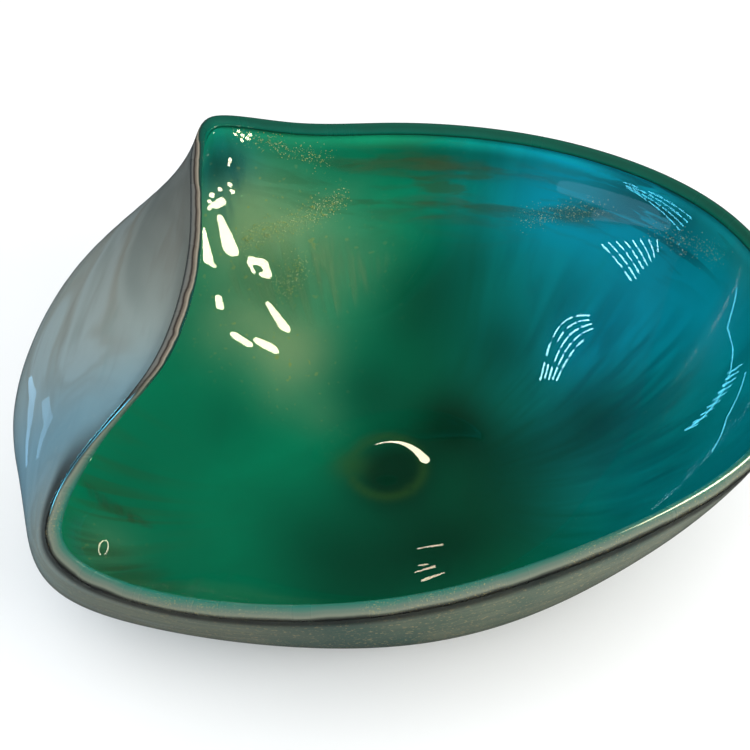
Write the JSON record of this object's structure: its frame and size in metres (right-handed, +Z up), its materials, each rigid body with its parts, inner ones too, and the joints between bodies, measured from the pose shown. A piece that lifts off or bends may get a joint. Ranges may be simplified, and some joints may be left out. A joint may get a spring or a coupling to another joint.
{
  "type": "folded art glass bowl",
  "caption": "Free-form blown glass bowl with one side folded in over it, smoky and pearl outside and emerald to teal inside, with a rounded lip and a ground foot.",
  "frame": {"origin": "middle of the bowl's outline, on the plane that it stands on", "axes": "+X along the length of the bowl, away from its folded side; +Y towards the high back of the rim; +Z up"},
  "size_m": [0.2384, 0.1687, 0.1089],
  "materials": {
    "smoky_glass": "fire-polished smoky grey glass",
    "foot_glass": "ground and polished smoky glass",
    "pearl_glass": "opaque pearl glass with a faint metallic dust",
    "emerald_glass": "dense emerald to teal colour glass",
    "clear_green_glass": "clear sea-green glass, fire-polished",
    "lip_glass": "fire-polished pearly glass trail with gold dust",
    "teal_glass": "teal colour glass",
    "olive_glass": "olive colour glass",
    "pale_green_glass": "pale green colour glass",
    "amber_glass": "amber-brown colour glass",
    "gold_flake": "bright metal flake in glass"
  },
  "bodies": {
    "root": {"foot": "foot_glass", "outer_casing": "smoky_glass", "pearl_layer": "pearl_glass", "emerald_layer": "emerald_glass", "inner_casing": "clear_green_glass", "lip_wrap": "lip_glass", "teal_sweep_right": "teal_glass", "olive_bloom_near": "olive_glass", "pale_bloom_fold": "pale_green_glass", "teal_band_peak": "teal_glass", "amber_band_high": "amber_glass", "amber_band_far": "amber_glass", "amber_band_right": "amber_glass", "amber_band_near": "amber_glass", "pale_threads": "pale_green_glass", "gold_flecks_peak": "gold_flake", "gold_flecks_fold": "gold_flake", "gold_flecks_low": "gold_flake", "gold_flecks_far": "gold_flake", "gold_flecks_right": "gold_flake", "gold_flecks_near": "gold_flake"}
  },
  "joints": []
}
